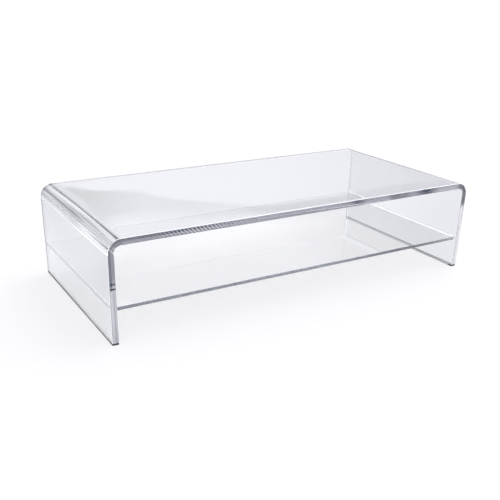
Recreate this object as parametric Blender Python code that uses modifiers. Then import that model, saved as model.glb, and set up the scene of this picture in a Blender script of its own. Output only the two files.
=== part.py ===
"""Clear two-tier monitor riser: one sheet bent into a bridge, with a thinner shelf cemented between its legs.

Units are metres and +Z is up. The origin is on the desk, under the middle of the riser. +X runs along
its length, and the open front faces -Y.
"""
import math

import bpy

# Driving dimensions
LENGTH = 0.510
DEPTH = 0.240
HEIGHT = 0.120
SHEET_THICKNESS = 0.008
BEND_RADIUS = 0.017
SHEET_ARRIS = 0.0010
SHELF_THICKNESS = 0.004
SHELF_TOP = 0.043
SHELF_SETBACK = 0.003
SHELF_ARRIS = 0.0004
BEAD_SIZE = 0.0020
BEAD_TIP = 0.0003
BEAD_END_GAP = 0.002
STRIP_THICKNESS = 0.0017
STRIP_SETBACK = 0.0003
JOINT_GAP = 0.0003

# Fineness of the round stretches
BEND_SEGMENTS = 12
ARRIS_SEGMENTS = 2
BEAD_SEGMENTS = 6

# Worked out from the driving dimensions
LEG_BOTTOM = STRIP_THICKNESS + JOINT_GAP
LEG_INNER_X = LENGTH / 2 - SHEET_THICKNESS
SHELF_LENGTH = 2 * (LEG_INNER_X - JOINT_GAP)
SHELF_DEPTH = DEPTH - 2 * SHELF_SETBACK


def clear_scene():
    for item in list(bpy.data.objects):
        bpy.data.objects.remove(item, do_unlink=True)


def make_material(name, colour, roughness, transmission=0.0):
    material = bpy.data.materials.new(name)
    material.use_nodes = True
    shader = material.node_tree.nodes["Principled BSDF"]
    shader.inputs["Base Color"].default_value = (*colour, 1.0)
    shader.inputs["Roughness"].default_value = roughness
    shader.inputs["Metallic"].default_value = 0.0
    shader.inputs["IOR"].default_value = 1.49
    shader.inputs["Transmission Weight"].default_value = transmission
    return material


def name_part(part, name, material, collection):
    """Gives the part its name, its material and its place in the riser's own collection."""
    part.name = name
    part.data.name = name
    part.data.materials.clear()
    part.data.materials.append(material)
    for old in list(part.users_collection):
        old.objects.unlink(part)
    collection.objects.link(part)
    return part


def break_edges(part, width):
    """Takes the sharp corners off, as a scraper and a polishing wheel do."""
    bevel = part.modifiers.new("Arris", "BEVEL")
    bevel.width = width
    bevel.segments = ARRIS_SEGMENTS
    bevel.limit_method = "ANGLE"
    bevel.angle_limit = math.radians(60)


def bridge_profile():
    """Outside line of the bent sheet in X and Z, from the left foot over the top to the right foot."""
    line = [(-LENGTH / 2, LEG_BOTTOM)]
    for side, start in ((-1, math.pi), (1, math.pi / 2)):
        centre_x = side * (LENGTH / 2 - BEND_RADIUS)
        centre_z = HEIGHT - BEND_RADIUS
        for step in range(BEND_SEGMENTS + 1):
            angle = start - step / BEND_SEGMENTS * math.pi / 2
            line.append((centre_x + BEND_RADIUS * math.cos(angle), centre_z + BEND_RADIUS * math.sin(angle)))
    line.append((LENGTH / 2, LEG_BOTTOM))
    return line


def make_bent_sheet(material, collection):
    """The bridge: its outside surface, thickened inwards so that the bends keep one thickness."""
    line = bridge_profile()
    vertices = [(x, y, z) for y in (-DEPTH / 2, DEPTH / 2) for x, z in line]
    count = len(line)
    faces = [(i, i + 1, i + 1 + count, i + count) for i in range(count - 1)]
    mesh = bpy.data.meshes.new("bent_sheet")
    mesh.from_pydata(vertices, [], faces)
    sheet = bpy.data.objects.new("bent_sheet", mesh)
    bpy.context.scene.collection.objects.link(sheet)
    solidify = sheet.modifiers.new("Sheet thickness", "SOLIDIFY")
    solidify.thickness = SHEET_THICKNESS
    solidify.offset = -1.0
    solidify.use_even_offset = True
    break_edges(sheet, SHEET_ARRIS)
    name_part(sheet, "bent_sheet", material, collection)
    mesh.shade_smooth()
    mesh.set_sharp_from_angle(angle=math.radians(30))


def make_box(name, size, location, arris, material, collection):
    """A flat strip or plate, from a cube with its scale applied before its edges are broken."""
    bpy.ops.mesh.primitive_cube_add(size=1.0, location=location)
    box = bpy.context.active_object
    box.scale = size
    bpy.ops.object.transform_apply(location=False, rotation=False, scale=True)
    if arris:
        break_edges(box, arris)
    return name_part(box, name, material, collection)


def bead_outline():
    """Cross-section of a cement bead in its corner: two flat backs and a hollow round face."""
    tips = [(0.0, 0.0), (BEAD_SIZE, 0.0), (BEAD_SIZE, BEAD_TIP)]
    radius = BEAD_SIZE - BEAD_TIP
    for step in range(1, BEAD_SEGMENTS):
        angle = -math.pi / 2 - step / BEAD_SEGMENTS * math.pi / 2
        tips.append((BEAD_SIZE + radius * math.cos(angle), BEAD_SIZE + radius * math.sin(angle)))
    return tips + [(BEAD_TIP, BEAD_SIZE), (0.0, BEAD_SIZE)]


def make_bead(name, side, level, material, collection):
    """One cement bead along the shelf's end. side is -1 at the left leg, level is 1 above the shelf."""
    curve = bpy.data.curves.new(name, "CURVE")
    curve.dimensions = "2D"
    curve.fill_mode = "BOTH"
    curve.extrude = SHELF_DEPTH / 2 - BEAD_END_GAP
    outline = bead_outline()
    spline = curve.splines.new("POLY")
    spline.points.add(len(outline) - 1)
    for point, (along, up) in zip(spline.points, outline):
        point.co = (-side * along, level * up, 0.0, 1.0)
    spline.use_cyclic_u = True
    bead = bpy.data.objects.new(name, curve)
    shelf_face = SHELF_TOP if level > 0 else SHELF_TOP - SHELF_THICKNESS
    bead.location = (side * (LEG_INNER_X - JOINT_GAP), 0.0, shelf_face + level * JOINT_GAP)
    bead.rotation_euler = (math.pi / 2, 0.0, 0.0)
    bpy.context.scene.collection.objects.link(bead)
    name_part(bead, name, material, collection)


def main():
    clear_scene()
    collection = bpy.data.collections.new("monitor_riser")
    bpy.context.scene.collection.children.link(collection)

    sheet_material = make_material("clear_acrylic_sheet", (0.90, 0.92, 0.95), 0.03, 0.9)
    shelf_material = make_material("clear_acrylic_shelf", (0.90, 0.92, 0.95), 0.03, 0.9)
    bead_material = make_material("clear_cement", (0.94, 0.95, 0.97), 0.08, 0.9)
    strip_material = make_material("dark_rubber", (0.07, 0.07, 0.08), 0.75)

    make_bent_sheet(sheet_material, collection)

    shelf_centre = (0.0, 0.0, SHELF_TOP - SHELF_THICKNESS / 2)
    shelf_size = (SHELF_LENGTH, SHELF_DEPTH, SHELF_THICKNESS)
    make_box("shelf", shelf_size, shelf_centre, SHELF_ARRIS, shelf_material, collection)

    strip_width = SHEET_THICKNESS - 2 * STRIP_SETBACK
    strip_size = (strip_width, DEPTH - 2 * STRIP_SETBACK, STRIP_THICKNESS)
    for side_name, side in (("left", -1), ("right", 1)):
        strip_centre = (side * (LENGTH - SHEET_THICKNESS) / 2, 0.0, STRIP_THICKNESS / 2)
        make_box(f"foot_strip_{side_name}", strip_size, strip_centre, 0.0, strip_material, collection)
        for level_name, level in (("upper", 1), ("lower", -1)):
            make_bead(f"cement_bead_{side_name}_{level_name}", side, level, bead_material, collection)


main()
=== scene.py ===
"""Looks of the clear two-tier monitor riser: a bent acrylic bridge, a shelf, cement and foot strips.

Everything is in metres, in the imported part's own frame: +X along the riser, +Z up, the desk at Z = 0, and
the open front facing -Y. A pair named FADE, START or END is where a change begins and where it is complete.
"""
import math

import bmesh
import bpy
from mathutils import Matrix, Vector, noise


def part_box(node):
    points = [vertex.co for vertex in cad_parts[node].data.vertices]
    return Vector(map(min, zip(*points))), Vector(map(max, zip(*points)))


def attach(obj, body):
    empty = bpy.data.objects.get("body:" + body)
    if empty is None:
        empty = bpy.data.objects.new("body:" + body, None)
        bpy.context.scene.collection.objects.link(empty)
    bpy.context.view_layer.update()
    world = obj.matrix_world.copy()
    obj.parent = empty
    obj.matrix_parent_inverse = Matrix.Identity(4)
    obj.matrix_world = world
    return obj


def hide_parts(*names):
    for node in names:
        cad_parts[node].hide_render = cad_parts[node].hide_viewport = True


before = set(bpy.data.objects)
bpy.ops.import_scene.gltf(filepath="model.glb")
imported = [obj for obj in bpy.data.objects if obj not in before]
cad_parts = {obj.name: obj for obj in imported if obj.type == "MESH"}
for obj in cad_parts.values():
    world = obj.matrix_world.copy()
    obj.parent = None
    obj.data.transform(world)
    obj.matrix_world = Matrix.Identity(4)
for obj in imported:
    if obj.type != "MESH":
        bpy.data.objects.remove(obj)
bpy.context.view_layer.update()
SHEET_LOW, SHEET_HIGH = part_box("bent_sheet")
SHELF_LOW, SHELF_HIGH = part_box("shelf")

MM = 0.001

# The bent sheet
SHEET_THICKNESS = 8.0 * MM
BEND_RADIUS = 17.0 * MM
SHEET_ARRIS = 1.0 * MM
BEND_STEPS = 28
FLAT_STEPS = 40
LEG_STEPS = 12
DEPTH_STEPS = 72
ARRIS_STEPS = 3
# allowance in telling the inside face from the outside one
INSIDE_SLACK = 0.1 * MM
# the axis of each bend, where the flats end
BEND_X = SHEET_HIGH.x - BEND_RADIUS
BEND_Z = SHEET_HIGH.z - BEND_RADIUS

# What the strip heater left: a slow ripple, and creases along the inside of the bends.
# A slice or a side shift picks a place in the noise, so that no two bends are alike.
HEATED_REACH = 25.0 * MM
RIPPLE_DEPTH = 0.30 * MM
RIPPLE_LENGTH = 90.0 * MM
RIPPLE_CROSSWISE = 15.0
RIPPLE_SLICE = Vector((7.3, 2.1, 5.7))
# each crease's place and width as shares of the bend, and its depth
CREASES = ((0.53, 0.22, 1.0 * MM), (0.10, 0.10, 0.35 * MM))
CREASE_WANDER = 0.14
CREASE_WANDER_LENGTH = 120.0 * MM
CREASE_SIDE_SHIFT = 4.0
CREASE_SLICE = 3.3

# The shelf and its joints
SHELF_ARRIS = 0.4 * MM
JOINT_GAP = 0.05 * MM
BEAD_SIZE = 2.0 * MM
BEAD_TIP = 0.3 * MM
BEAD_ARRIS = 0.08 * MM
BEAD_STEPS = 10
BEAD_LENGTH_STEPS = 120
BEAD_UNEVENNESS = 0.22
BEAD_WAVES = 160.0
BEAD_LEVEL_SHIFT = 3.0
STRIP_ARRIS = 0.25 * MM
SMALL_ARRIS_STEPS = 2
# an edge sharper than this many degrees gets an arris
SHARP_ANGLE = 60.0
FLAT_WEIGHT = 100

# Acrylic: its own colours, painted shade for the legs and the cut edges, and how much light it takes up per
# metre
IOR_ACRYLIC = 1.49
SHEET_TINT = (0.945, 0.95, 0.962)
# painted shade: the legs take a darker tint than the top of the same sheet
LEG_SHADE = (0.85, 0.857, 0.875)
# painted shade: the cut edges are darkened towards these two colours
SHEET_EDGE_SHADE = (0.25, 0.26, 0.29)
SHELF_EDGE_SHADE = (0.50, 0.51, 0.54)
SHELF_TINT = (0.99, 0.99, 0.995)
ABSORPTION_TINT = (0.80, 0.806, 0.825)
SHEET_DENSITY = 18.0
SHELF_DENSITY = 22.0
WHITE = (1.0, 1.0, 1.0)

# How a face is turned, as the size of its normal's share along an axis
SQUARE_ON = 0.995
ARRIS_LEAST = 0.12
ARRIS_MOST = 0.85
LEG_FACE_FADE = (0.90, 0.99)

# Where on the riser a look changes: front of the middle, and up a leg
FRONT_FADE = (0.0, 50.0 * MM)
UP_LEG_FADE = (58.0 * MM, 74.0 * MM)

# Marks on the cut edges: the cutter's ribs in one stretch, a darker stretch, and two dark spots on the left
# leg
CUTTER_PITCH = 4.6 * MM
CUTTER_DEPTH = 0.04 * MM
CUTTER_PLACE = -145.0 * MM
CUTTER_SPREAD = 48.0 * MM
CUTTER_FROST = 0.24
CUTTER_TICKS = -0.9
DARK_STRETCH_PLACE = 180.0 * MM
DARK_STRETCH_SPREAD = 14.0 * MM
DARK_STRETCH_DARKNESS = 1.25
SPOT_PLACES = (65.5 * MM, 71.0 * MM)
SPOT_SPREAD = 1.1 * MM
SPOT_DARKNESS = 1.2

# How white the scraped arrises and cemented ends are, and the broken grain of both
SHEET_ARRIS_WHITE = 0.8
BACK_ARRIS_FROST_SHARE = 0.7
SHELF_END_WHITE = 0.85
GRAIN_SCALE = 700.0
GRAIN_DETAIL = 3.0
GRAIN_LEAST = 0.75
GRAIN_RANGE = 0.5
MILKY_ROUGHNESS = 0.45

# How frosted the front cut edges are. The right leg's frost reaches higher up it than the left one's.
TOP_FROST = 0.07
RIGHT_END_FROST = 0.3
LEFT_LEG_FROST = 0.50
RIGHT_LEG_FROST = 1.05
FROST_FADE = (64.0 * MM, 74.0 * MM)
RIGHT_FROST_RISE = 19.0 * MM
RIGHT_END_FADE = (190.0 * MM, 210.0 * MM)

# Streaks along the cut edges, dark lines of painted shade and a frosted core, as depths under the outside
# face, and how far they wander
STREAK_WANDER = 0.9 * MM
STREAK_SCALE = 14.0
STREAK_DETAIL = 2.0
CORE_START = (2.2 * MM, 3.4 * MM)
CORE_END = (6.0 * MM, 7.2 * MM)
CORE_FADE = (110.0 * MM, 170.0 * MM)
CORE_FROST = 0.14
OUTER_LINE_START = (1.1 * MM, 1.6 * MM)
OUTER_LINE_END = (3.6 * MM, 4.8 * MM)
INNER_LINE_START = (6.2 * MM, 7.0 * MM)
INNER_LINE_SHADE = 0.25
LOW_LINE_PLACE = 5.2 * MM
LOW_LINE_SPREAD = 0.7 * MM
LOW_LINE_SHADE = 0.6
FAINTER_FADE = (-170.0 * MM, -60.0 * MM)
FAINTER_SHADE = 0.3
LEFT_CORNER_FADE = (66.0 * MM, 82.0 * MM)
LEFT_CORNER_SHADE = 0.66
RIGHT_CORNER_X_FADE = (232.0 * MM, 246.0 * MM)
RIGHT_CORNER_Z_FADE = (84.0 * MM, 94.0 * MM)
RIGHT_CORNER_SHADE = 1.1
MOST_SHADE = 1.35
SHELF_BACK_SHADE = 0.2
SHELF_PALE_PLACE = 20.0 * MM
SHELF_PALE_SPREAD = 100.0 * MM
SHELF_PALE_SHARE = -0.45

# Darker bands of painted shade round the bends: place and spread as shares of the bend, then strength at the
# back and at the front
BEND_SHADE_BANDS = ((0.5, 0.085, 1.25, 0.6), (0.20, 0.12, 0.10, 0.28))
PALE_BAND_PLACE = 0.93
PALE_BAND_SPREAD = 0.06
PALE_BAND_END = 0.999
PALE_BAND_FROST = 0.35
BEND_HAZE = 0.16
HAZE_REACH = 4.0 * MM

# How much of the legs' painted shade a leg face takes: on the left by height and by depth, on the right by
# depth
LEG_SHADE_Z_FADE = (20.0 * MM, 110.0 * MM)
LEG_SHADE_LOW = 0.50
LEG_SHADE_HIGH = 1.80
LEG_SHADE_Y_FADE = (-80.0 * MM, 80.0 * MM)
LEG_SHADE_FRONT = 0.8
LEG_SHADE_BACK = 1.35
RIGHT_LEG_SHADE_Y_FADE = (-110.0 * MM, 60.0 * MM)
RIGHT_LEG_SHADE_FRONT = 1.15
RIGHT_LEG_SHADE_BACK = 0.40

# Long waves in the faces, shallower on the leg faces
WAVE_DEPTH = 0.06 * MM
WAVE_SCALE = 11.0
WAVE_DETAIL = 1.0
WAVE_LEG_SHARE = 0.7

# Painted light: glow, so that the scraped and cemented lines read white
ARRIS_GLOW = 0.20
SHELF_BACK_GLOW = 0.16
PALE_BAND_GLOW_BACK = 0.40
PALE_BAND_GLOW_FRONT = 0.80
LEFT_END_GLOW = 0.285
RIGHT_END_GLOW = 0.24

# Cement
CEMENT_STOPS = ((0.35, (0.88, 0.885, 0.90)), (0.6, (0.96, 0.965, 0.975)))
CEMENT_TRANSMISSION = 0.35
BUBBLE_SCALE = 1400.0
BUBBLE_DETAIL = 2.0
BUBBLE_STRENGTH = 0.3
BUBBLE_DEPTH = 0.05 * MM
CEMENT_ROUGH_LEAST = 0.1
CEMENT_ROUGH_RANGE = 0.3
LEFT_CEMENT_GLOW = 0.285
RIGHT_CEMENT_GLOW = 0.10
# the line where the right bead meets the shelf's upper face glows most, as a painted highlight
RIGHT_LINE_GLOW = 0.60
RIGHT_LINE_LOW = SHELF_HIGH.z - 0.5 * MM
RIGHT_LINE_HIGH = SHELF_HIGH.z + 0.7 * MM

# Rubber
RUBBER_STOPS = ((0.3, (0.012, 0.012, 0.014)), (0.7, (0.030, 0.030, 0.033)))
RUBBER_SCALE = 900.0
RUBBER_DETAIL = 4.0
RUBBER_ROUGHNESS = 0.75
RUBBER_STRENGTH = 0.4
RUBBER_DEPTH = 0.1 * MM
# painted light: the right strip is made paler from just behind its front end
STRIP_PALE = (0.72, 0.725, 0.74)
PALE_START = (-116.5 * MM, -110.0 * MM)
PALER_FADE = (-75.0 * MM, -35.0 * MM)
PALE_FRONT_SHARE = 0.75
PALE_BACK_SHARE = 0.92

# Floor, which is part emissive
FLOOR_SIZE = 60.0
FLOOR_COLOUR = (0.22, 0.22, 0.22)
FLOOR_GLOW_COLOUR = (1.0, 1.0, 1.02)
FLOOR_GLOW = 0.75

# The light, as radiance. Heights are sines of the elevation; azimuths are degrees from +Y towards +X.
TENT_TINT = (0.99, 0.995, 1.04)
SWEEP_LEVEL = 0.90
SWEEP_RIGHT_LEVEL = 0.76
SWEEP_RIGHT_FADE = (30.0, 44.0)
GAP_FADE = (0.223, 0.230)
GAP_SAG = -0.060
GAP_LEVEL = 0.60
# one stretch of the gap, the wedge, is darker and lies a little higher
WEDGE_START = (0.0, 8.0)
WEDGE_END = (17.0, 23.0)
WEDGE_RISE = 0.016
WEDGE_LEVEL = 0.30
MIDDLE_FADE = (0.285, 0.315)
MIDDLE_LEVEL = 0.92
MIDDLE_RIGHT_LEVEL = 0.66
MIDDLE_RIGHT_FADE = (35.0, 44.0)
BOX_COUNT = 8
BOX_AZIMUTH = 30.5
BOX_FADE = (0.475, 0.525)
BOX_SAG = 0.190
BOX_LEVEL = 1.08
UPPER_FADE = (0.50, 0.60)
UPPER_LEVEL = 0.85
BANK_PLACE = (0.73, 0.13, 0.67)
BANK_FADE = (0.82, 0.90)
BANK_LEVEL = 3.2
KEY_AZIMUTH = 16.0
KEY_SIDE_FADE = (0.927, 0.978)
KEY_START = (0.405, 0.42)
KEY_END = (0.47, 0.49)
KEY_LEVEL = 1.3

# The camera, with its angles in degrees, and how often its light may bounce
CAMERA_PLACE = (-0.4797, -0.7632, 0.3592)
CAMERA_TURN = -30.75
CAMERA_DIP = 24.31
CAMERA_ROLL = 1.15
CAMERA_LENS = 50.72
CAMERA_SENSOR = 36.0
CAMERA_SHIFT = (0.02, 0.10)
LIGHT_BOUNCES = 64
DIFFUSE_BOUNCES = 4


# ---------------------------------------------------------------- node helpers
class Tree:
    """Short ways to add nodes and link them, for one material or world."""

    def __init__(self, tree):
        self.tree = tree

    def add(self, kind, **settings):
        node = self.tree.nodes.new(kind)
        for name, value in settings.items():
            setattr(node, name, value)
        return node

    def link(self, source, target):
        self.tree.links.new(source, target)

    def feed(self, socket, value):
        """Sets the socket to a number or a colour, or links it to another socket."""
        if isinstance(value, (int, float)):
            socket.default_value = value
        elif isinstance(value, tuple):
            socket.default_value = (*value, 1.0)
        else:
            self.link(value, socket)

    def split(self, vector):
        """The X, Y and Z of a vector."""
        node = self.add("ShaderNodeSeparateXYZ")
        self.link(vector, node.inputs[0])
        return node.outputs["X"], node.outputs["Y"], node.outputs["Z"]

    def math(self, operation, *values, clamp=False):
        node = self.add("ShaderNodeMath", operation=operation, use_clamp=clamp)
        for socket, value in zip(node.inputs, values):
            self.feed(socket, value)
        return node.outputs[0]

    def times(self, first, *others):
        product = first
        for value in others:
            product = self.math("MULTIPLY", product, value)
        return product

    def plus(self, first, *others):
        total = first
        for value in others:
            total = self.math("ADD", total, value)
        return total

    def inverse(self, value):
        """1 where the value is 0, and 0 where it is 1."""
        return self.math("SUBTRACT", 1.0, value)

    def hump(self, source, middle, spread):
        """1 at the middle, falling smoothly to 0 within about two spreads."""
        off = self.math("DIVIDE", self.math("SUBTRACT", source, middle), spread)
        return self.math("EXPONENT", self.times(off, off, -1.0))

    def smooth(self, source, low, high):
        """0 below low, 1 above high, and a soft step between."""
        node = self.add("ShaderNodeMapRange", interpolation_type="SMOOTHSTEP")
        node.inputs["From Min"].default_value = low
        node.inputs["From Max"].default_value = high
        self.link(source, node.inputs["Value"])
        return node.outputs[0]

    def window(self, source, start, end):
        """Rises to 1 over the start pair and falls back to 0 over the end pair, which lies beyond it."""
        return self.math("SUBTRACT", self.smooth(source, *start), self.smooth(source, *end))

    def blend(self, factor, first, second):
        """first where the factor is 0, second where it is 1; each is a number or a socket."""
        node = self.add("ShaderNodeMix", data_type="FLOAT")
        self.feed(node.inputs["Factor"], factor)
        self.feed(node.inputs[2], first)
        self.feed(node.inputs[3], second)
        return node.outputs[0]

    def blend_colours(self, factor, first, second):
        """Like blend, for colours; a factor past 1 goes beyond the second colour."""
        node = self.add("ShaderNodeMix", data_type="RGBA", clamp_factor=False)
        self.feed(node.inputs["Factor"], factor)
        self.feed(node.inputs[6], first)
        self.feed(node.inputs[7], second)
        return node.outputs[2]

    def noise(self, place, scale, detail):
        node = self.add("ShaderNodeTexNoise")
        node.inputs["Scale"].default_value = scale
        node.inputs["Detail"].default_value = detail
        self.link(place, node.inputs["Vector"])
        return node.outputs["Fac"]

    def ramp(self, source, stops):
        """A colour that runs between two stops, each a position and a colour."""
        node = self.add("ShaderNodeValToRGB")
        for element, (position, colour) in zip(node.color_ramp.elements, stops):
            element.position = position
            element.color = (*colour, 1.0)
        self.link(source, node.inputs[0])
        return node.outputs[0]


def new_material(name):
    material = bpy.data.materials.new(name)
    material.use_nodes = True
    return material, Tree(material.node_tree), material.node_tree.nodes["Principled BSDF"]


def raise_surface(tree, shader, height, strength=1.0, distance=1.0):
    """Bumps the surface by a height, which is in metres where the strength and the distance are 1."""
    bump = tree.add("ShaderNodeBump")
    bump.inputs["Strength"].default_value = strength
    bump.inputs["Distance"].default_value = distance
    tree.link(height, bump.inputs["Height"])
    tree.link(bump.outputs[0], shader.inputs["Normal"])


# ---------------------------------------------------------------- acrylic
class AcrylicPoint:
    """Where a point of the acrylic lies and how its face is turned, as sockets to make the looks from."""

    def __init__(self, tree):
        self.place = tree.add("ShaderNodeTexCoord").outputs["Object"]
        self.x, self.y, self.z = tree.split(self.place)
        self.far_x = tree.math("ABSOLUTE", self.x)
        self.front = tree.smooth(tree.times(self.y, -1.0), *FRONT_FADE)
        self.back = tree.inverse(self.front)
        self.on_right = tree.math("GREATER_THAN", self.x, 0.0)
        self.on_left = tree.inverse(self.on_right)
        self.past_left_bend = tree.math("LESS_THAN", self.x, -BEND_X)
        self.up_leg = tree.smooth(self.z, *UP_LEG_FADE)

        normal_x, normal_y, _ = tree.split(tree.add("ShaderNodeNewGeometry").outputs["True Normal"])
        self.along_x = tree.math("ABSOLUTE", normal_x)
        along_y = tree.math("ABSOLUTE", normal_y)
        self.end_face = tree.math("GREATER_THAN", self.along_x, SQUARE_ON)
        self.cut_edge = tree.math("GREATER_THAN", along_y, SQUARE_ON)
        self.off_edge = tree.inverse(self.cut_edge)
        tilted = tree.math("GREATER_THAN", along_y, ARRIS_LEAST)
        self.arris = tree.times(tilted, tree.math("LESS_THAN", along_y, ARRIS_MOST))

        # how deep under the outside face, on the flats and round the bends, with a slow wander
        past_x = tree.math("MAXIMUM", tree.math("SUBTRACT", self.far_x, BEND_X), 0.0)
        past_z = tree.math("MAXIMUM", tree.math("SUBTRACT", self.z, BEND_Z), 0.0)
        square = tree.math("MULTIPLY_ADD", past_x, past_x, tree.times(past_z, past_z))
        depth = tree.math("SUBTRACT", BEND_RADIUS, tree.math("SQRT", square))
        wander = tree.noise(self.place, STREAK_SCALE, STREAK_DETAIL)
        self.depth = tree.math("MULTIPLY_ADD", wander, STREAK_WANDER, depth)

        # 0 on the top, 1 on a leg, and the share of the quarter turn between, round either bend
        self.bend_share = tree.math("DIVIDE", tree.math("ARCTAN2", past_x, past_z), math.pi / 2)

        # ribs that the cutter left, strongest in one stretch
        run = tree.plus(self.x, self.z)
        ribs = tree.math("SINE", tree.times(run, 2 * math.pi / CUTTER_PITCH))
        self.ribs = tree.times(ribs, tree.hump(self.x, CUTTER_PLACE, CUTTER_SPREAD))


def edge_frost(tree, point):
    """How frosted the front cut edge is: least on the top, more by the right bend, most down the legs."""
    lowered = tree.math("MULTIPLY_ADD", point.on_right, -RIGHT_FROST_RISE, point.z)
    right_end = tree.smooth(point.x, *RIGHT_END_FADE)
    right_end = tree.times(right_end, tree.math("LESS_THAN", point.x, BEND_X))
    on_top = tree.blend(right_end, TOP_FROST, RIGHT_END_FROST)
    on_leg = tree.blend(point.on_right, LEFT_LEG_FROST, RIGHT_LEG_FROST)
    frost = tree.blend(tree.smooth(lowered, *FROST_FADE), on_leg, on_top)
    frost = tree.math("MULTIPLY_ADD", point.ribs, CUTTER_FROST, frost)

    # a paler streak inside the edge, along the left end of the top and down into the left leg
    core = tree.window(point.depth, CORE_START, CORE_END)
    core = tree.times(core, tree.smooth(tree.times(point.x, -1.0), *CORE_FADE), point.up_leg)
    frost = tree.math("MULTIPLY_ADD", core, CORE_FROST, frost)
    return tree.times(frost, point.cut_edge, point.front)


def pale_band(tree, point):
    """A pale band where the left bend runs into the leg, frosted and given glow as a painted highlight."""
    band = tree.hump(point.bend_share, PALE_BAND_PLACE, PALE_BAND_SPREAD)
    in_bend = tree.math("LESS_THAN", point.bend_share, PALE_BAND_END)
    return tree.times(band, point.off_edge, in_bend, point.on_left)


def painted_shade_bands(tree, point):
    """Darker bands of painted shade along the bends."""
    bands = []
    for middle, spread, at_back, at_front in BEND_SHADE_BANDS:
        strength = tree.blend(point.front, at_back, at_front)
        bands.append(tree.times(tree.hump(point.bend_share, middle, spread), strength))
    return tree.times(tree.plus(*bands), point.off_edge)


def bend_haze(tree, point):
    """1 round the bends and 0 on the flats, off the cut edges."""
    past_x = tree.smooth(point.far_x, BEND_X - HAZE_REACH, BEND_X)
    past_z = tree.smooth(point.z, BEND_Z - HAZE_REACH, BEND_Z)
    return tree.times(past_x, past_z, point.off_edge)


def leg_shade_share(tree, point):
    """How much of the legs' painted shade a face takes: on the left more up and back, on the right less at
    the back.
    """
    by_height = tree.blend(tree.smooth(point.z, *LEG_SHADE_Z_FADE), LEG_SHADE_LOW, LEG_SHADE_HIGH)
    by_depth = tree.blend(tree.smooth(point.y, *LEG_SHADE_Y_FADE), LEG_SHADE_FRONT, LEG_SHADE_BACK)
    on_right = tree.blend(tree.smooth(point.y, *RIGHT_LEG_SHADE_Y_FADE), RIGHT_LEG_SHADE_FRONT, RIGHT_LEG_SHADE_BACK)
    share = tree.blend(point.on_right, tree.times(by_height, by_depth), on_right)
    return tree.times(tree.smooth(point.along_x, *LEG_FACE_FADE), share)


def sheet_edge_painted_shade(tree, point):
    """How much painted shade darkens the bridge's cut edges: in thin lines, at both corners, and in a few
    marks.
    """
    outer_line = tree.window(point.depth, OUTER_LINE_START, OUTER_LINE_END)
    inner_line = tree.times(tree.smooth(point.depth, *INNER_LINE_START), INNER_LINE_SHADE)
    fainter = tree.blend(tree.smooth(point.x, *FAINTER_FADE), 1.0, FAINTER_SHADE)
    lines = tree.math("ADD", outer_line, inner_line, clamp=True)
    low_line = tree.hump(point.depth, LOW_LINE_PLACE, LOW_LINE_SPREAD)
    left_corner = tree.times(tree.smooth(point.z, *LEFT_CORNER_FADE), point.past_left_bend)
    right_corner = tree.smooth(point.x, *RIGHT_CORNER_X_FADE)
    right_corner = tree.times(right_corner, tree.smooth(point.z, *RIGHT_CORNER_Z_FADE))
    darkening = tree.times(lines, point.up_leg, fainter)
    for darker in (
        tree.times(low_line, tree.inverse(point.up_leg), LOW_LINE_SHADE),
        tree.times(left_corner, LEFT_CORNER_SHADE),
        tree.times(right_corner, RIGHT_CORNER_SHADE),
    ):
        darkening = tree.math("MAXIMUM", darkening, darker)

    # a darker stretch before the right bend, lighter ticks at the ribs, and two dark spots on the left leg
    dark_stretch = tree.times(tree.hump(point.x, DARK_STRETCH_PLACE, DARK_STRETCH_SPREAD), DARK_STRETCH_DARKNESS)
    spots = tree.plus(*(tree.hump(point.z, spot_place, SPOT_SPREAD) for spot_place in SPOT_PLACES))
    spots = tree.times(spots, point.on_left, SPOT_DARKNESS)
    darkening = tree.plus(darkening, dark_stretch, tree.times(point.ribs, CUTTER_TICKS), spots)
    return tree.math("MINIMUM", tree.math("MAXIMUM", darkening, 0.0), MOST_SHADE)


def shelf_edge_painted_shade(tree, point):
    """How much painted shade darkens the shelf's cut edges: much at the front, less in its middle, and
    little at the back.
    """
    paler = tree.hump(point.x, SHELF_PALE_PLACE, SHELF_PALE_SPREAD)
    at_front = tree.math("MULTIPLY_ADD", paler, SHELF_PALE_SHARE, 1.0)
    return tree.blend(point.front, SHELF_BACK_SHADE, at_front)


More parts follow.
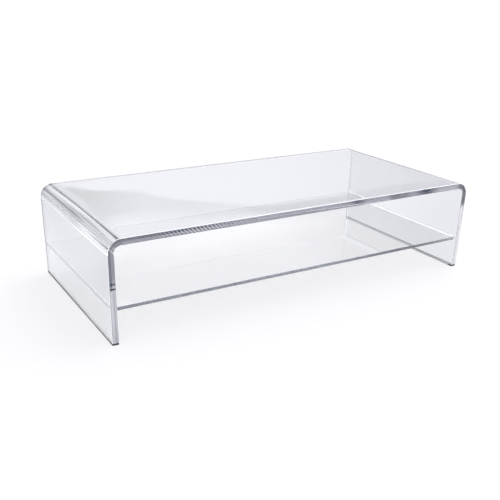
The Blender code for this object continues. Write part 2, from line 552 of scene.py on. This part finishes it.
def clear_acrylic(name, tint, leg_shade, edge_shade_colour, edge_painted_shade, density, white_arris, white_ends, back_glow):
    """Clear cast acrylic: cut edges and bands round the bends darkened with painted shade, scraped arrises,
    waves in the faces.

    The function given for the edges says how much painted shade darkens the cut edges. white_arris is how
    white the scraped arrises are, and white_ends how white the cemented end faces are. back_glow is painted
    light for the back cut edge.
    """
    material, tree, shader = new_material(name)
    point = AcrylicPoint(tree)
    shader.inputs["IOR"].default_value = IOR_ACRYLIC

    # scraped arrises and cemented ends scatter light; the back arris at the left end is darkened with
    # painted shade, and frosted as well
    dark_back_arris = tree.times(point.arris, point.back, point.past_left_bend)
    front_arris = tree.times(point.arris, point.front, white_arris)
    arris = tree.math("MULTIPLY_ADD", dark_back_arris, BACK_ARRIS_FROST_SHARE * white_arris, front_arris)
    ends = tree.times(point.end_face, white_ends)
    band = tree.times(pale_band(tree, point), white_arris)
    frost = tree.times(edge_frost(tree, point), white_arris)
    frost = tree.math("MULTIPLY_ADD", band, PALE_BAND_FROST, frost)
    grain = tree.noise(point.place, GRAIN_SCALE, GRAIN_DETAIL)
    grain = tree.math("MULTIPLY_ADD", grain, GRAIN_RANGE, GRAIN_LEAST)
    milky = tree.math("MULTIPLY", tree.plus(arris, ends, frost), grain, clamp=True)
    tree.link(tree.inverse(milky), shader.inputs["Transmission Weight"])
    haze = tree.times(bend_haze(tree, point), BEND_HAZE * white_arris)
    tree.link(tree.math("MULTIPLY_ADD", milky, MILKY_ROUGHNESS, haze), shader.inputs["Roughness"])

    # painted light: the front arrises, the shelf's back edge, the pale band and the cemented ends glow
    glow = tree.plus(
        tree.times(front_arris, ARRIS_GLOW),
        tree.times(point.cut_edge, point.back, back_glow),
        tree.times(band, tree.blend(point.front, PALE_BAND_GLOW_BACK, PALE_BAND_GLOW_FRONT)),
        tree.times(ends, tree.blend(point.on_right, LEFT_END_GLOW, RIGHT_END_GLOW)),
    )
    tree.link(glow, shader.inputs["Emission Strength"])
    tree.feed(shader.inputs["Emission Color"], WHITE)

    # painted shade: the leg faces are darker than the top, by height and depth
    faces = tree.blend_colours(leg_shade_share(tree, point), tint, leg_shade)
    # painted shade: the cut edges, the back arris at the left end and the bands round the bends are darkened
    # towards the edge colour
    darkening = tree.plus(
        dark_back_arris,
        tree.times(painted_shade_bands(tree, point), white_arris),
        tree.times(point.cut_edge, edge_painted_shade(tree, point)),
    )
    tree.link(tree.blend_colours(darkening, faces, edge_shade_colour), shader.inputs["Base Color"])

    ribs = tree.times(point.ribs, point.cut_edge, point.front, CUTTER_DEPTH)
    waves = tree.times(tree.noise(point.place, WAVE_SCALE, WAVE_DETAIL), WAVE_DEPTH, point.off_edge)
    waves = tree.times(waves, tree.inverse(tree.times(point.along_x, WAVE_LEG_SHARE)))
    raise_surface(tree, shader, tree.plus(ribs, waves))

    absorption = tree.add("ShaderNodeVolumeAbsorption")
    tree.feed(absorption.inputs["Color"], ABSORPTION_TINT)
    absorption.inputs["Density"].default_value = density
    tree.link(absorption.outputs[0], material.node_tree.nodes["Material Output"].inputs["Volume"])
    return material


# ---------------------------------------------------------------- cement and rubber
def milky_cement(name):
    """Set solvent cement: a translucent white line with small bubbles, and a glow of painted light."""
    material, tree, shader = new_material(name)
    place = tree.add("ShaderNodeTexCoord").outputs["Object"]
    x, _, z = tree.split(place)
    shader.inputs["IOR"].default_value = IOR_ACRYLIC
    shader.inputs["Transmission Weight"].default_value = CEMENT_TRANSMISSION

    # painted light: the cement glows, most on the right along the shelf's upper face
    on_right = tree.math("GREATER_THAN", x, 0.0)
    above = tree.math("GREATER_THAN", z, RIGHT_LINE_LOW)
    by_shelf = tree.times(above, tree.math("LESS_THAN", z, RIGHT_LINE_HIGH))
    right_glow = tree.blend(by_shelf, RIGHT_CEMENT_GLOW, RIGHT_LINE_GLOW)
    tree.link(tree.blend(on_right, LEFT_CEMENT_GLOW, right_glow), shader.inputs["Emission Strength"])
    tree.feed(shader.inputs["Emission Color"], WHITE)

    bubbles = tree.noise(place, BUBBLE_SCALE, BUBBLE_DETAIL)
    roughness = tree.math("MULTIPLY_ADD", bubbles, CEMENT_ROUGH_RANGE, CEMENT_ROUGH_LEAST)
    tree.link(tree.ramp(bubbles, CEMENT_STOPS), shader.inputs["Base Color"])
    tree.link(roughness, shader.inputs["Roughness"])
    raise_surface(tree, shader, bubbles, BUBBLE_STRENGTH, BUBBLE_DEPTH)
    return material


def dark_rubber(name):
    """Dark, fine-grained rubber, with painted light: the right strip is paler from just behind its front
    end.
    """
    material, tree, shader = new_material(name)
    place = tree.add("ShaderNodeTexCoord").outputs["Object"]
    x, y, _ = tree.split(place)
    # painted light: paler along the right strip
    painted_pale = tree.blend(tree.smooth(y, *PALER_FADE), PALE_FRONT_SHARE, PALE_BACK_SHARE)
    painted_pale = tree.times(painted_pale, tree.smooth(y, *PALE_START), tree.math("GREATER_THAN", x, 0.0))
    grain = tree.noise(place, RUBBER_SCALE, RUBBER_DETAIL)
    colour = tree.blend_colours(painted_pale, tree.ramp(grain, RUBBER_STOPS), STRIP_PALE)
    tree.link(colour, shader.inputs["Base Color"])
    shader.inputs["Roughness"].default_value = RUBBER_ROUGHNESS
    raise_surface(tree, shader, grain, RUBBER_STRENGTH, RUBBER_DEPTH)
    return material


# ---------------------------------------------------------------- shapes
def add_object(name, mesh, material):
    thing = bpy.data.objects.new(name, mesh)
    bpy.context.scene.collection.objects.link(thing)
    mesh.materials.append(material)
    return thing


def smooth_with_arris(thing, width, segments):
    """Rounds the sharp edges and keeps the flats flat to the eye."""
    thing.data.shade_smooth()
    bevel = thing.modifiers.new("Arris", "BEVEL")
    bevel.width = width
    bevel.segments = segments
    bevel.limit_method = "ANGLE"
    bevel.angle_limit = math.radians(SHARP_ANGLE)
    weighted = thing.modifiers.new("Flat faces", "WEIGHTED_NORMAL")
    weighted.keep_sharp = False
    weighted.weight = FLAT_WEIGHT
    return thing


def make_box(name, low, high, material, arris, segments):
    mesh = bpy.data.meshes.new(name)
    bm = bmesh.new()
    centre = (low + high) / 2
    size = high - low
    bmesh.ops.create_cube(bm, size=1.0, matrix=Matrix.Translation(centre) @ Matrix.Diagonal((*size, 1.0)))
    bm.to_mesh(mesh)
    bm.free()
    return smooth_with_arris(add_object(name, mesh, material), arris, segments)


def loft(outline, y_low, y_high, steps, place):
    """A closed bar of one cross-section along Y with two end caps; place says where each point goes."""
    mesh = bpy.data.meshes.new("loft")
    bm = bmesh.new()
    rings = []
    for step in range(steps + 1):
        y = y_low + (y_high - y_low) * step / steps
        rings.append([bm.verts.new(place(x, y, z)) for x, z in outline])
    count = len(outline)
    for near, far in zip(rings, rings[1:]):
        for i in range(count):
            j = (i + 1) % count
            bm.faces.new((near[i], far[i], far[j], near[j]))
    bm.faces.new(rings[0])
    bm.faces.new(reversed(rings[-1]))
    bmesh.ops.recalc_face_normals(bm, faces=bm.faces)
    bm.to_mesh(mesh)
    bm.free()
    return mesh


def bend_points(side, radius):
    """Points round one corner of the bridge, from the top to the leg. side is -1 at the left."""
    points = []
    for step in range(BEND_STEPS + 1):
        angle = step / BEND_STEPS * math.pi / 2
        points.append((side * (BEND_X + radius * math.sin(angle)), BEND_Z + radius * math.cos(angle)))
    return points


def half_line(side, radius, z_face):
    """Half of the sheet's outside or inside line, from the middle of the top to the foot."""
    bend = bend_points(side, radius)
    half = FLAT_STEPS // 2
    flat = [(bend[0][0] * i / half, z_face) for i in range(half)]
    leg_x, leg_top = bend[-1]
    leg = [(leg_x, leg_top + (SHEET_LOW.z - leg_top) * i / LEG_STEPS) for i in range(1, LEG_STEPS + 1)]
    return flat + bend + leg


def sheet_line(radius, z_face):
    """The sheet's whole outside or inside line, from the left foot over the top to the right foot."""
    left = half_line(-1, radius, z_face)
    right = half_line(1, radius, z_face)
    return left[::-1] + right[1:]


def unit_noise(place):
    """Smooth noise from 0 to 1."""
    return 0.5 + 0.5 * noise.noise(place)


def heated(x, z):
    """1 round the bends, falling to 0 on the cold flats."""
    along_top = max(0.0, BEND_X - abs(x))
    down_leg = max(0.0, BEND_Z - z) if abs(x) > BEND_X else 0.0
    far = math.hypot(along_top, down_leg) / HEATED_REACH
    return math.exp(-far * far)


def ripple(x, y, z):
    """Small inward waves that heating leaves along a bend, much shorter across it than along it."""
    stretched = Vector((x * RIPPLE_CROSSWISE, y, z * RIPPLE_CROSSWISE)) / RIPPLE_LENGTH
    return RIPPLE_DEPTH * heated(x, z) * unit_noise(stretched + RIPPLE_SLICE)


def creases(x, y, z):
    """How far the creases along the inside of a bend press its face outwards, as a negative depth."""
    turn = math.atan2(abs(x) - BEND_X, z - BEND_Z) / (math.pi / 2)
    wander = noise.noise(Vector((x * CREASE_SIDE_SHIFT, y, CREASE_SLICE)) / CREASE_WANDER_LENGTH)
    depth = 0.0
    for crease_place, width, deepest in CREASES:
        phase = (turn - crease_place - CREASE_WANDER * wander) / width
        depth -= deepest * math.exp(-phase * phase)
    return depth


def with_heat_marks(x, y, z):
    """Moves a point of the sheet through its thickness, by the ripple and, inside a bend, by the creases."""
    depth = ripple(x, y, z)
    inside_x = BEND_X < abs(x) < SHEET_HIGH.x - SHEET_THICKNESS + INSIDE_SLACK
    inside_z = BEND_Z < z < SHEET_HIGH.z - SHEET_THICKNESS + INSIDE_SLACK
    if inside_x and inside_z:
        depth += creases(x, y, z)
    inwards = Vector((math.copysign(BEND_X, x) - x, 0.0, BEND_Z - z))
    if abs(x) < BEND_X:
        inwards.x = 0.0
    if z < BEND_Z:
        inwards.z = 0.0
    return Vector((x, y, z)) + inwards.normalized() * depth


def make_bent_sheet():
    outside = sheet_line(BEND_RADIUS, SHEET_HIGH.z)
    inside = sheet_line(BEND_RADIUS - SHEET_THICKNESS, SHEET_HIGH.z - SHEET_THICKNESS)
    mesh = loft(outside + inside[::-1], SHEET_LOW.y, SHEET_HIGH.y, DEPTH_STEPS, with_heat_marks)
    acrylic = clear_acrylic(
        "acrylic_sheet", SHEET_TINT, LEG_SHADE, SHEET_EDGE_SHADE, sheet_edge_painted_shade, SHEET_DENSITY,
        white_arris=SHEET_ARRIS_WHITE, white_ends=0.0, back_glow=0.0,
    )
    return smooth_with_arris(add_object("bent_sheet_clear", mesh, acrylic), SHEET_ARRIS, ARRIS_STEPS)


def make_shelf():
    reach = SHEET_HIGH.x - SHEET_THICKNESS - JOINT_GAP
    low = Vector((-reach, SHELF_LOW.y, SHELF_LOW.z))
    high = Vector((reach, SHELF_HIGH.y, SHELF_HIGH.z))
    acrylic = clear_acrylic(
        "acrylic_shelf", SHELF_TINT, SHELF_TINT, SHELF_EDGE_SHADE, shelf_edge_painted_shade, SHELF_DENSITY,
        white_arris=0.0, white_ends=SHELF_END_WHITE, back_glow=SHELF_BACK_GLOW,
    )
    return make_box("shelf_clear", low, high, acrylic, SHELF_ARRIS, SMALL_ARRIS_STEPS)


def make_bead(node, side, level, material):
    """A concave fillet of cement in the corner of a leg and the shelf, a little uneven as run by hand."""
    low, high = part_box(node)
    corner = Vector((high.x if side > 0 else low.x, 0.0, low.z if level > 0 else high.z))
    radius = BEAD_SIZE - BEAD_TIP
    profile = [(0.0, 0.0), (BEAD_SIZE, 0.0), (BEAD_SIZE, BEAD_TIP)]
    for step in range(1, BEAD_STEPS):
        angle = step / BEAD_STEPS * math.pi / 2
        profile.append((BEAD_SIZE - radius * math.sin(angle), BEAD_SIZE - radius * math.cos(angle)))
    profile += [(BEAD_TIP, BEAD_SIZE), (0.0, BEAD_SIZE)]
    outline = [(corner.x - side * out, corner.z + level * up) for out, up in profile]

    def hand_run(x, y, z):
        share = 1.0 - BEAD_UNEVENNESS * unit_noise(Vector((x, y * BEAD_WAVES, z * BEAD_LEVEL_SHIFT)))
        return Vector((corner.x + (x - corner.x) * share, y, corner.z + (z - corner.z) * share))

    mesh = loft(outline, low.y, high.y, BEAD_LENGTH_STEPS, hand_run)
    return smooth_with_arris(add_object(f"{node}_clear", mesh, material), BEAD_ARRIS, SMALL_ARRIS_STEPS)


# ---------------------------------------------------------------- stage
def make_floor():
    mesh = bpy.data.meshes.new("floor")
    bm = bmesh.new()
    bmesh.ops.create_grid(bm, x_segments=1, y_segments=1, size=FLOOR_SIZE)
    bm.to_mesh(mesh)
    bm.free()
    material, tree, shader = new_material("floor_white")
    tree.feed(shader.inputs["Base Color"], FLOOR_COLOUR)
    tree.feed(shader.inputs["Emission Color"], FLOOR_GLOW_COLOUR)
    shader.inputs["Emission Strength"].default_value = FLOOR_GLOW
    shader.inputs["Roughness"].default_value = 1.0
    shader.inputs["Specular IOR Level"].default_value = 0.0
    floor = add_object("floor", mesh, material)


def in_radians(degrees):
    return [math.radians(angle) for angle in degrees]


def tent_level(tree, direction):
    """The tent's brightness: a sweep, a dim gap, soft boxes over it, a side bank and a strip box."""
    x, y, height = tree.split(direction)
    azimuth = tree.math("ARCTAN2", x, y)

    # 1 in the middle of each soft box and 0 between two
    turned = tree.math("MULTIPLY_ADD", azimuth, BOX_COUNT, math.radians(-BOX_COUNT * BOX_AZIMUTH))
    middle = tree.math("MULTIPLY_ADD", tree.math("COSINE", turned), 0.5, 0.5)

    # the boxes hang lower in their middle, and the dim gap under them starts higher there
    wedge = tree.window(azimuth, in_radians(WEDGE_START), in_radians(WEDGE_END))
    wedge_height = tree.math("MULTIPLY_ADD", wedge, -WEDGE_RISE, height)
    gap_mask = tree.smooth(tree.math("MULTIPLY_ADD", middle, GAP_SAG, wedge_height), *GAP_FADE)
    box_mask = tree.smooth(tree.math("MULTIPLY_ADD", middle, BOX_SAG, height), *BOX_FADE)

    # the sweep, and the tent between the gap and the boxes, are dimmer towards the right
    sweep_dimmer = tree.smooth(azimuth, *in_radians(SWEEP_RIGHT_FADE))
    sweep_level = tree.blend(sweep_dimmer, SWEEP_LEVEL, SWEEP_RIGHT_LEVEL)
    middle_dimmer = tree.smooth(azimuth, *in_radians(MIDDLE_RIGHT_FADE))
    middle_level = tree.blend(middle_dimmer, MIDDLE_LEVEL, MIDDLE_RIGHT_LEVEL)
    level = tree.blend(gap_mask, sweep_level, tree.blend(wedge, GAP_LEVEL, WEDGE_LEVEL))
    level = tree.blend(tree.smooth(wedge_height, *MIDDLE_FADE), level, middle_level)
    level = tree.blend(box_mask, level, BOX_LEVEL)
    level = tree.blend(tree.smooth(height, *UPPER_FADE), level, UPPER_LEVEL)

    # one strong bank at the right
    towards_bank = tree.add("ShaderNodeVectorMath", operation="DOT_PRODUCT")
    tree.link(direction, towards_bank.inputs[0])
    towards_bank.inputs[1].default_value = Vector(BANK_PLACE).normalized()
    level = tree.blend(tree.smooth(towards_bank.outputs["Value"], *BANK_FADE), level, BANK_LEVEL)

    # one bright strip box over the back edge, seen along the inside of the sheets
    towards_key = tree.math("COSINE", tree.math("SUBTRACT", azimuth, math.radians(KEY_AZIMUTH)))
    key_mask = tree.times(tree.window(height, KEY_START, KEY_END), tree.smooth(towards_key, *KEY_SIDE_FADE))
    return tree.blend(key_mask, level, KEY_LEVEL)


def make_world():
    """The tent lights and is mirrored; the camera itself sees plain white."""
    world = bpy.data.worlds.new("tent")
    bpy.context.scene.world = world
    world.use_nodes = True
    world.node_tree.nodes.clear()
    tree = Tree(world.node_tree)
    direction = tree.add("ShaderNodeTexCoord").outputs["Generated"]
    tint = tree.add("ShaderNodeVectorMath", operation="SCALE")
    tint.inputs[0].default_value = TENT_TINT
    tree.link(tent_level(tree, direction), tint.inputs["Scale"])
    tent = tree.add("ShaderNodeBackground")
    tree.link(tint.outputs[0], tent.inputs["Color"])
    plain = tree.add("ShaderNodeBackground")
    tree.feed(plain.inputs["Color"], WHITE)
    path = tree.add("ShaderNodeLightPath")
    mix = tree.add("ShaderNodeMixShader")
    tree.link(path.outputs["Is Camera Ray"], mix.inputs[0])
    tree.link(tent.outputs[0], mix.inputs[1])
    tree.link(plain.outputs[0], mix.inputs[2])
    output = tree.add("ShaderNodeOutputWorld")
    tree.link(mix.outputs[0], output.inputs["Surface"])


def make_camera():
    data = bpy.data.cameras.new("camera")
    camera = bpy.data.objects.new("camera", data)
    bpy.context.scene.collection.objects.link(camera)
    data.lens = CAMERA_LENS
    data.sensor_width = CAMERA_SENSOR
    data.shift_x, data.shift_y = CAMERA_SHIFT
    turn = Matrix.Rotation(math.radians(CAMERA_TURN), 4, "Z")
    tilt = Matrix.Rotation(math.radians(90.0 - CAMERA_DIP), 4, "X")
    roll = Matrix.Rotation(math.radians(CAMERA_ROLL), 4, "Z")
    camera.matrix_world = Matrix.Translation(CAMERA_PLACE) @ turn @ tilt @ roll
    bpy.context.scene.camera = camera


def set_light_paths():
    """Light crosses the sheets along their length, so it needs many more bounces than usual."""
    scene = bpy.context.scene
    scene.cycles.max_bounces = LIGHT_BOUNCES
    scene.cycles.glossy_bounces = LIGHT_BOUNCES
    scene.cycles.transmission_bounces = LIGHT_BOUNCES
    scene.cycles.diffuse_bounces = DIFFUSE_BOUNCES
    scene.view_settings.view_transform = "Standard"
    scene.view_settings.look = "None"


make_world()
make_floor()
make_camera()
set_light_paths()

sheet = make_bent_sheet()
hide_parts("bent_sheet")
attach(sheet, "root")

shelf = make_shelf()
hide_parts("shelf")
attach(shelf, "root")

rubber = dark_rubber("foot_rubber")
cement = milky_cement("cement")
for side_name, side in (("left", -1), ("right", 1)):
    strip_node = f"foot_strip_{side_name}"
    strip_low, strip_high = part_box(strip_node)
    strip = make_box(f"{strip_node}_rubber", strip_low, strip_high, rubber, STRIP_ARRIS, ARRIS_STEPS)
    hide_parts(strip_node)
    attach(strip, "root")
    for level_name, level in (("upper", 1), ("lower", -1)):
        bead_node = f"cement_bead_{side_name}_{level_name}"
        bead = make_bead(bead_node, side, level, cement)
        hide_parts(bead_node)
        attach(bead, "root")
